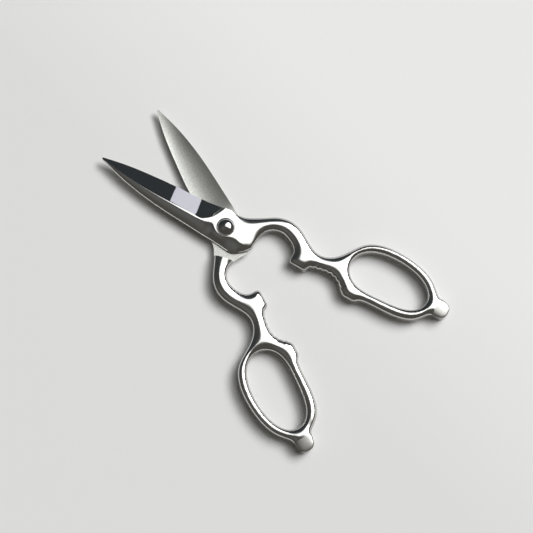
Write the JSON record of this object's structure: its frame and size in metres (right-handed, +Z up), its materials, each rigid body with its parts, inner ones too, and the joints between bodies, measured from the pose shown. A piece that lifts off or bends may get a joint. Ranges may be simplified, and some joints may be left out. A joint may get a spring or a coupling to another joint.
{
  "type": "poultry shears",
  "caption": "All-steel forged kitchen shears, lying open: two mirror-polished halves on a screw pivot, finger rings, toothed jaws, opener recesses and lifter tabs.",
  "frame": {"origin": "on the pivot axis, at the plane the shears lie on", "axes": "+Z up along the pivot axis, towards the screw head; +Y from the pivot between the blades; -Y between the handles; the upper half's handle is on +X"},
  "size_m": [0.1248, 0.1975, 0.0107],
  "materials": {
    "forged_steel": "mirror-polished stainless steel, crowned outer faces",
    "screw_steel": "polished domed screw head",
    "washer_steel": "satin",
    "spring_steel": "satin, slightly darkened",
    "nut_steel": "satin turned face"
  },
  "bodies": {
    "lower": {"lower_half": "forged_steel", "pivot_screw": "screw_steel", "head_washer": "washer_steel", "spring_washer": "spring_steel", "pivot_nut": "nut_steel"},
    "upper": {"upper_half": "forged_steel"}
  },
  "joints": [
    {"name": "pivot_hinge", "type": "hinge", "parent": "lower", "child": "upper", "pos_m": [0, 0, 0.0038], "axis": [0, 0, 1], "range_deg": [-29.4, 56]}
  ]
}
